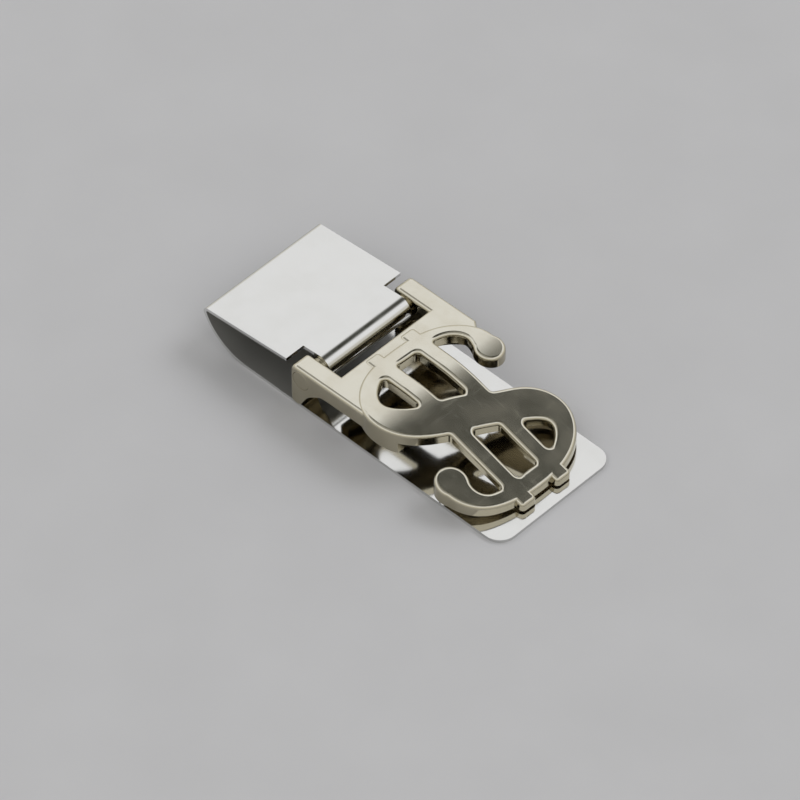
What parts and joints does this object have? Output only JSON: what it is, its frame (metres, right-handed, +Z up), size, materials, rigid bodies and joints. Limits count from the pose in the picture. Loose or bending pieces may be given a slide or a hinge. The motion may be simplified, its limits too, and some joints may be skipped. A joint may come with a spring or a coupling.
{
  "type": "money clip",
  "caption": "Folded spring-steel money clip with a hinged cam lever shaped as a dollar sign that clamps banknotes against a flat plate.",
  "frame": {"origin": "on the resting plane, on the strip's centre line, half way between the back bend and the free tip", "axes": "+X from the back bend to the free tip, +Y across the clip, +Z up from the resting plane"},
  "size_m": [0.0552, 0.0239, 0.0077],
  "materials": {
    "polished_stainless": "mirror polish with fine handling scratches",
    "nickel_plated_casting": "bright warm nickel plate over a die casting",
    "steel_pin": "plated pin ends, ground flush"
  },
  "bodies": {
    "strip": {"spring_body": "polished_stainless"},
    "lever": {"dollar_lever": "nickel_plated_casting", "hinge_pin": "steel_pin"}
  },
  "joints": [
    {"name": "lever_hinge", "type": "hinge", "parent": "strip", "child": "lever", "pos_m": [-0.009, 0, 0.00552], "axis": [0, -1, 0], "range_deg": [0, 110]}
  ]
}
